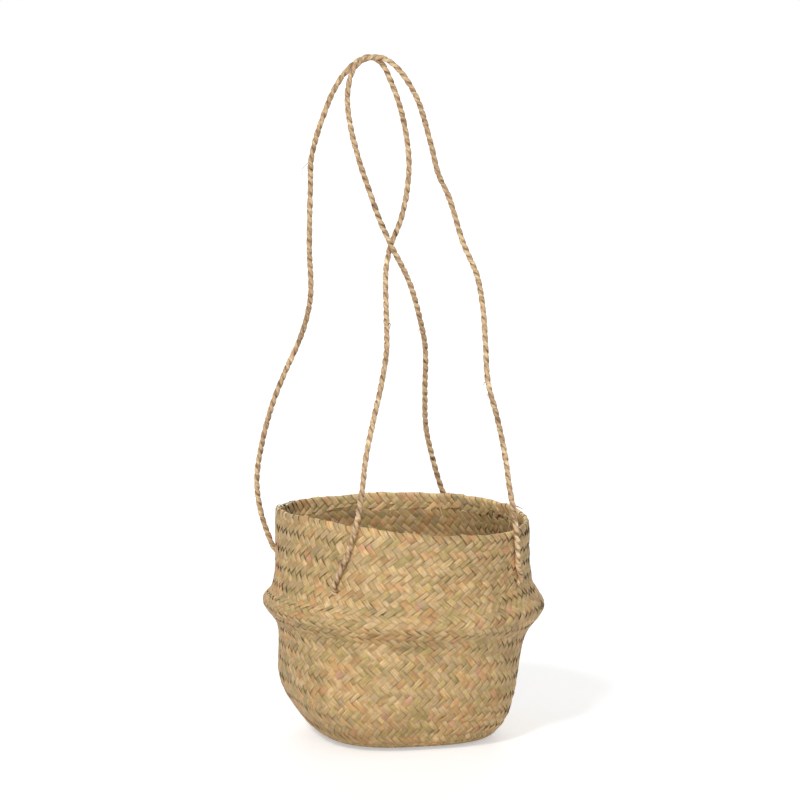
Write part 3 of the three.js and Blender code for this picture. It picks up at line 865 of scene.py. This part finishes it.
# Each cord's joint at its holes: its place, and half a stretch across it, both in metres.
for side, route, seed, pivot, bend in (
    ("left", LEFT_ROUTE, 3, (-0.086, 0.0, 0.149), (-0.0024, 0.0, 0.0032)),
    ("right", RIGHT_ROUTE, 4, (0.086, 0.0, 0.149), (0.0, 0.0, 0.004)),
):
    route = into_holes(route, f"rear_{side}", f"front_{side}")
    line, at = spaced_along(smooth_through(route, ROUTE_SAMPLES), CORD_STEP)
    cord = laid_cord(f"{side}_twisted_cord", line, at, np.array([0.0, 1.0, 0.0]), seed)
    ends = LOOSE_ENDS[side]
    foot = line[(ends[:, 0] * (len(line) - 1)).astype(int)]
    elbow, tip = (foot + ends[:, k:k + 2] @ SIDEWAYS_AND_UP for k in (1, 3))
    bends = np.stack([smooth_through(three, LOOSE_SAMPLES) for three in np.stack([foot, elbow, tip], 1)])
    loose = thread_piece(f"{side}_loose_ends", bends, *ends[:, 5:].T)
    for piece in (cord, loose):
        piece.data.materials.append(CORD_GRASS)
    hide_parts(f"{side}_handle_cord")
    pivot, bend = np.array(pivot), np.array(bend)
    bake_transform(cord)
    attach(loose, f"{side}_handle")

# Stopper knots. Inside the wall each end of a cord is wound round on itself twice and drawn tight, with a short
# tail, so that it can't slip back through its hole.
# Radius of the coil, its turns, the share of it in which it opens and closes, half its length, its tail and the
# tail's droop, how deep its middle lies and its neck begins behind the hole's mouth, and the step between sections.
KNOT_COIL = 4.3
KNOT_TURNS = 2.2
KNOT_OPENS = 0.2
KNOT_HALF = 6.0
KNOT_TAIL = 9.0
TAIL_DROOP = 2.5
KNOT_FROM_WALL = 13.4
NECK_START = 5.5
KNOT_STEP = 0.8
# Points along a knot's neck, coil and tail.
NECK_POINTS, COIL_POINTS, TAIL_POINTS = 8, 90, 12


def wound_end(name):
    """The line of one stopper knot and the direction away from its middle: straight in along the hole, then a
    coil about that line which opens and closes again, then a tail that droops."""
    mouth, neck, level = cord_hole(name)
    across = np.cross(neck, [0.0, 0.0, 1.0])
    across /= np.linalg.norm(across)
    upright = np.cross(neck, across)
    start = KNOT_FROM_WALL / level - KNOT_HALF
    share = np.concatenate([np.zeros(NECK_POINTS), np.linspace(0, 1, COIL_POINTS), np.ones(TAIL_POINTS)])[:, None]
    tail = np.linspace(0, 1, TAIL_POINTS + 1)[1:]
    tail_run = np.concatenate([np.zeros(NECK_POINTS + COIL_POINTS), tail])[:, None]
    depth = start + 2 * KNOT_HALF * share + KNOT_TAIL * tail_run
    depth[:NECK_POINTS, 0] = np.linspace(NECK_START, start, NECK_POINTS, endpoint=False)
    opening = np.clip(np.minimum(share, 1 - share) / KNOT_OPENS, 0, 1)
    turn = 2 * np.pi * KNOT_TURNS * share
    aside = across * np.cos(turn) + upright * np.sin(turn)
    line = mouth + neck * depth + KNOT_COIL * opening**2 * (3 - 2 * opening) * aside
    return line - np.array([0, 0, TAIL_DROOP]) * tail_run**2, aside


for name, seed in zip(CORD_HOLES, (29, 30, 30, 31)):
    wound, aside = wound_end(name)
    line, at = spaced_along(wound, KNOT_STEP)
    run = length_along(wound)
    aside = np.stack([np.interp(at, run, aside[:, k]) for k in range(3)], 1)
    knot = laid_cord(f"{name}_wound_knot", line, at, aside, seed)
    knot.data.materials.append(CORD_GRASS)
    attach(knot, "basket")
    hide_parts(f"{name}_knot")

# Studio. A pale floor that fades into a white background, a lamp to the left of the camera, broad soft ones in
# front and behind, a weak one above, and a camera at the viewing angle, with a long lens. Lengths are in metres.
FLOOR_DROP = 0.0006
FLOOR_CORNERS = [(-6, -6, -FLOOR_DROP), (6, -6, -FLOOR_DROP), (6, 9, -FLOOR_DROP), (-6, 9, -FLOOR_DROP)]
FLOOR_GLOW = 0.45
WORLD_LIGHT = 0.285
LAMP_DISTANCE = 3.0


def seen_directly(nodes, links):
    """1 for what the camera sees, also in a reflection or through something clear, and 0 for the light that falls
    on the object: the largest of three values of the light's path."""
    path = nodes.new("ShaderNodeLightPath")
    seen = path.outputs["Is Camera Ray"]
    for ray in ("Is Glossy Ray", "Is Transmission Ray"):
        either = nodes.new("ShaderNodeMath")
        either.operation = "MAXIMUM"
        links.new(seen, either.inputs[0])
        links.new(path.outputs[ray], either.inputs[1])
        seen = either.outputs["Value"]
    return seen


floor_mesh = bpy.data.meshes.new("studio_floor")
floor_mesh.from_pydata(FLOOR_CORNERS, [], [(0, 1, 2, 3)])
floor = bpy.data.objects.new("studio_floor", floor_mesh)
bpy.context.scene.collection.objects.link(floor)
pale = bpy.data.materials.new("pale_floor")
pale.use_nodes = True
nodes, links = pale.node_tree.nodes, pale.node_tree.links
matt = nodes["Principled BSDF"]
matt.inputs["Base Color"].default_value = (0.8, 0.8, 0.8, 1.0)
matt.inputs["Roughness"].default_value = 0.9
matt.inputs["Emission Color"].default_value = (1.0, 1.0, 1.0, 1.0)
glow = nodes.new("ShaderNodeMath")
glow.operation = "MULTIPLY"
glow.inputs[1].default_value = FLOOR_GLOW
links.new(seen_directly(nodes, links), glow.inputs[0])
links.new(glow.outputs["Value"], matt.inputs["Emission Strength"])
floor.data.materials.append(pale)

world = bpy.data.worlds.new("studio")
bpy.context.scene.world = world
world.use_nodes = True
nodes, links = world.node_tree.nodes, world.node_tree.links
backdrop = nodes["Background"]
backdrop.inputs["Color"].default_value = (1.0, 1.0, 1.0, 1.0)
level = nodes.new("ShaderNodeMapRange")
level.inputs["To Min"].default_value = WORLD_LIGHT
level.inputs["To Max"].default_value = 1.0
links.new(seen_directly(nodes, links), level.inputs["Value"])
links.new(level.outputs["Result"], backdrop.inputs["Strength"])

# Azimuth, elevation and softness are in degrees.
for name, azimuth, elevation, softness, strength in (
    ("key", -40.0, 39.0, 10.0, 1.36),
    ("front", -3.0, 17.0, 40.0, 0.62),
    ("top", 0.0, 75.0, 80.0, 0.15),
    ("back", 164.0, 30.0, 40.0, 0.95),
):
    lamp = bpy.data.lights.new(name, "SUN")
    lamp.angle = np.radians(softness)
    lamp.energy = strength
    holder = bpy.data.objects.new(name, lamp)
    a, e = np.radians(azimuth), np.radians(elevation)
    towards = Vector((np.cos(e) * np.sin(a), -np.cos(e) * np.cos(a), np.sin(e)))
    holder.location = towards * LAMP_DISTANCE
    holder.rotation_euler = (-towards).to_track_quat("-Z", "Y").to_euler()
    bpy.context.scene.collection.objects.link(holder)

CAMERA_AZIMUTH = np.radians(-16.0)
CAMERA_ELEVATION = np.radians(11.0)
CAMERA_DISTANCE = 4.0
CAMERA_BASE = 0.098
CAMERA_AIM = Vector((-0.0029, 0.0008, 0.3025))
eye = Vector((
    CAMERA_DISTANCE * np.cos(CAMERA_ELEVATION) * np.sin(CAMERA_AZIMUTH),
    -CAMERA_DISTANCE * np.cos(CAMERA_ELEVATION) * np.cos(CAMERA_AZIMUTH),
    CAMERA_BASE + CAMERA_DISTANCE * np.sin(CAMERA_ELEVATION),
))
lens = bpy.data.cameras.new("camera")
lens.sensor_width = 36.0
lens.lens = 200.0
camera = bpy.data.objects.new("camera", lens)
camera.location = eye
camera.rotation_euler = (CAMERA_AIM - eye).to_track_quat("-Z", "Y").to_euler()
bpy.context.scene.collection.objects.link(camera)
bpy.context.scene.camera = camera
bpy.context.scene.view_settings.view_transform = "Standard"
